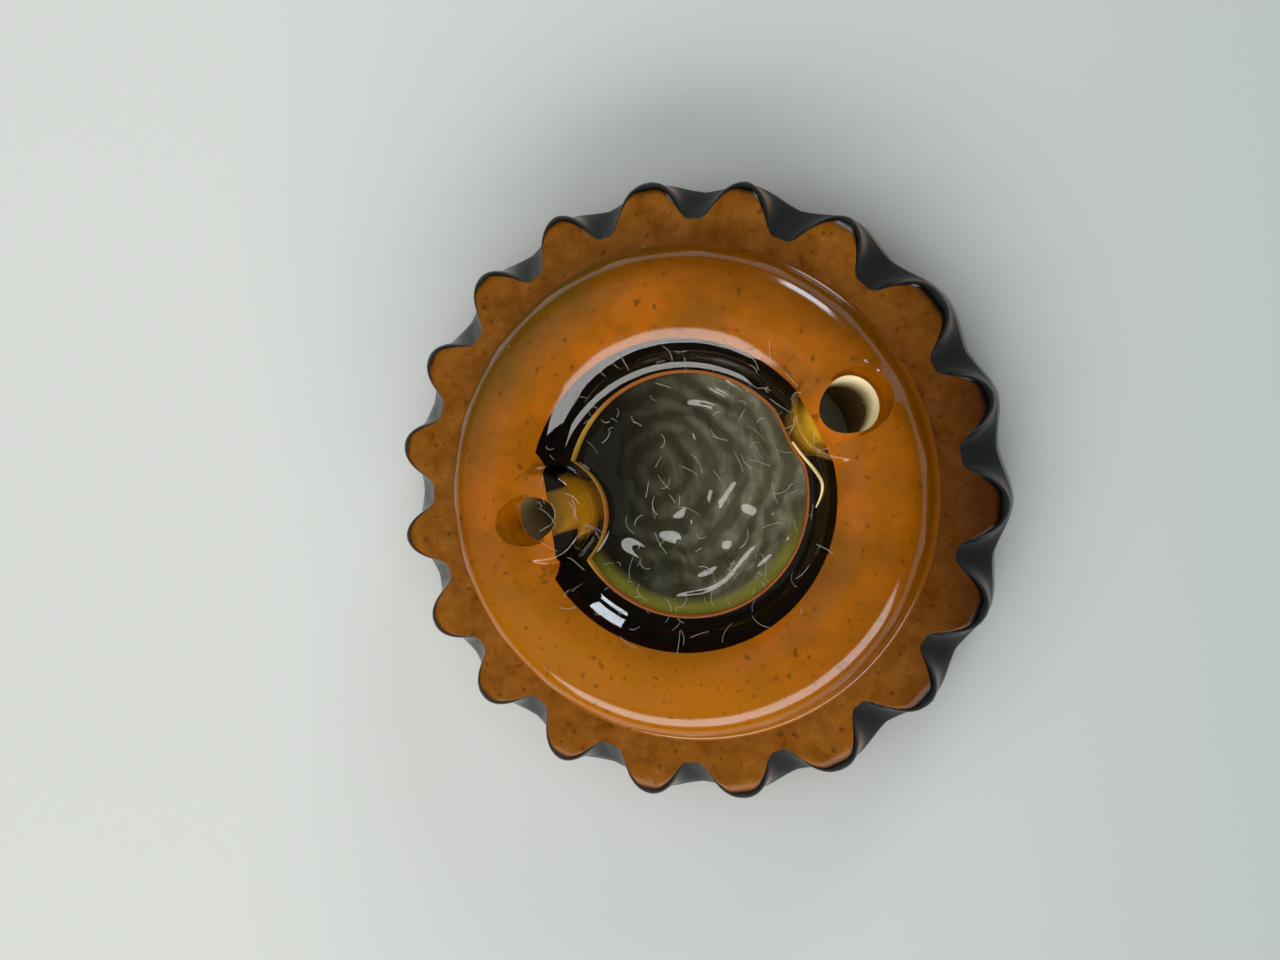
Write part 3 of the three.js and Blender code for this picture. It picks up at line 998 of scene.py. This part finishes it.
def make_floor():
    """The paper, large enough to fill the view from any side."""
    grid = np.linspace(-FLOOR_REACH * MM, FLOOR_REACH * MM, FLOOR_LINES)
    points = [(x, y, -FLOOR_GAP * MM) for y in grid for x in grid]
    faces = [
        (row + column, row + column + 1, row + FLOOR_LINES + column + 1, row + FLOOR_LINES + column)
        for row in range(0, FLOOR_LINES * (FLOOR_LINES - 1), FLOOR_LINES)
        for column in range(FLOOR_LINES - 1)
    ]
    mesh = bpy.data.meshes.new("paper")
    mesh.from_pydata(points, [], faces)
    mesh.materials.append(paper())
    floor = add_object("paper", mesh)


def lamp(name, azimuth, elevation, distance, width, height, power, colour, mirrored=True):
    """A soft rectangular light that faces the button, and that gloss mirrors unless told not to.

    Azimuth is counterclockwise from +X.
    """
    data = bpy.data.lights.new(name, "AREA")
    data.shape = "RECTANGLE"
    data.size, data.size_y = width, height
    data.energy = power
    data.color = colour
    a, e = math.radians(azimuth), math.radians(elevation)
    way = Vector((math.cos(a) * math.cos(e), math.sin(a) * math.cos(e), math.sin(e)))
    light = bpy.data.objects.new(name, data)
    light.location = way * distance
    light.rotation_euler = way.to_track_quat("Z", "Y").to_euler()
    light.visible_glossy = mirrored
    bpy.context.scene.collection.objects.link(light)


DAYLIGHT = (1.0, 0.99, 0.97)
SKY = (0.82, 0.92, 1.0)
WARM_WALL = (1.0, 0.98, 0.95)
ROOM = (0.85, 0.92, 1.0)
ROOM_STRENGTH = 0.03


def make_lights():
    """Lamps, with their distances and sizes in metres and their powers in watts."""
    near_light = {"azimuth": -84, "elevation": 35, "distance": 0.8, "width": 1.45, "height": 0.38}
    far_light = {"azimuth": 67, "elevation": 20, "distance": 0.8, "width": 0.22, "height": 0.24}
    wall_light = {"azimuth": 187, "elevation": 50, "distance": 0.45, "width": 0.5, "height": 0.4}
    left_light = {"azimuth": 190, "elevation": 48, "distance": 0.7, "width": 0.7, "height": 0.7}
    top_light = {"azimuth": 150, "elevation": 80, "distance": 0.7, "width": 1.2, "height": 1.2}
    lamp("main_window", **near_light, power=8.5, colour=DAYLIGHT)
    lamp("far_window", **far_light, power=2.0, colour=SKY)
    lamp("left_wall", **wall_light, power=0.08, colour=WARM_WALL)
    lamp("left_fill", **left_light, power=0.5, colour=DAYLIGHT, mirrored=False)
    lamp("top_fill", **top_light, power=5.6, colour=DAYLIGHT, mirrored=False)
    world = bpy.data.worlds.new("room")
    world.use_nodes = True
    background = world.node_tree.nodes["Background"]
    background.inputs["Color"].default_value = (*ROOM, 1)
    background.inputs["Strength"].default_value = ROOM_STRENGTH
    bpy.context.scene.world = world


CAMERA_TILT = 15.5
CAMERA_HEADING = 15
CAMERA_DISTANCE = 98.9
CAMERA_LENS = 50
CAMERA_SENSOR = 36
CAMERA_NEAREST = 1
CAMERA_TARGET = (-3.42, 0.5, 3.5)


def make_camera():
    tilt, heading = math.radians(CAMERA_TILT), math.radians(CAMERA_HEADING)
    back = Vector((math.sin(tilt) * math.cos(heading), math.sin(tilt) * math.sin(heading), math.cos(tilt)))
    right = Vector((0, 1, 0)).cross(back).normalized()
    upward = back.cross(right)
    data = bpy.data.cameras.new("camera")
    data.lens = CAMERA_LENS
    data.sensor_width = CAMERA_SENSOR
    data.clip_start = CAMERA_NEAREST * MM
    camera = bpy.data.objects.new("camera", data)
    turn = Matrix((right, upward, back)).transposed().to_4x4()
    place = Matrix.Translation((Vector(CAMERA_TARGET) + back * CAMERA_DISTANCE) * MM)
    camera.matrix_world = place @ turn
    bpy.context.scene.collection.objects.link(camera)
    bpy.context.scene.camera = camera


CLEAR_BOUNCES = 24
GLOSSY_BOUNCES = 8
BLUR_GLOSSY = 0.5


def set_look():
    """Plain colours, and enough bounces for light to pass through the whole button."""
    scene = bpy.context.scene
    scene.view_settings.view_transform = "Standard"
    scene.cycles.use_denoising = True
    scene.cycles.max_bounces = CLEAR_BOUNCES
    scene.cycles.transmission_bounces = CLEAR_BOUNCES
    scene.cycles.glossy_bounces = GLOSSY_BOUNCES
    scene.cycles.blur_glossy = BLUR_GLOSSY
    scene.cycles.sample_clamp_indirect = 0


SHARP_ANGLE = 38


def drill_holes(ring, inlay, line):
    """Faces a flat spot for each thread hole, then drills it through every piece in its way."""
    spot_finish = bpy.data.materials["turbid_amber"]
    for hole in HOLES:
        finish = drilled_amber(hole)
        cut(ring, drill_cutter(hole, hole["radius"] + SPOT_FACE_EXTRA, SPOT_START, 0.0, spot_finish))
        for piece in (ring, inlay, line):
            cut(piece, drill_cutter(hole, hole["radius"], DRILL_START, DRILL_END, finish))
    for piece in (ring, inlay, line):
        clear_slivers(piece.data)
        smooth_shading(piece.data, SHARP_ANGLE)
        piece.data.name = piece.name


make_camera()
make_lights()
make_floor()
body_pieces = [make_ring(), make_inlay(), make_cement()]
drill_holes(*body_pieces)
for piece in (*body_pieces, make_lint(), make_swarf(), make_specks()):
    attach(piece, BODY)
set_look()
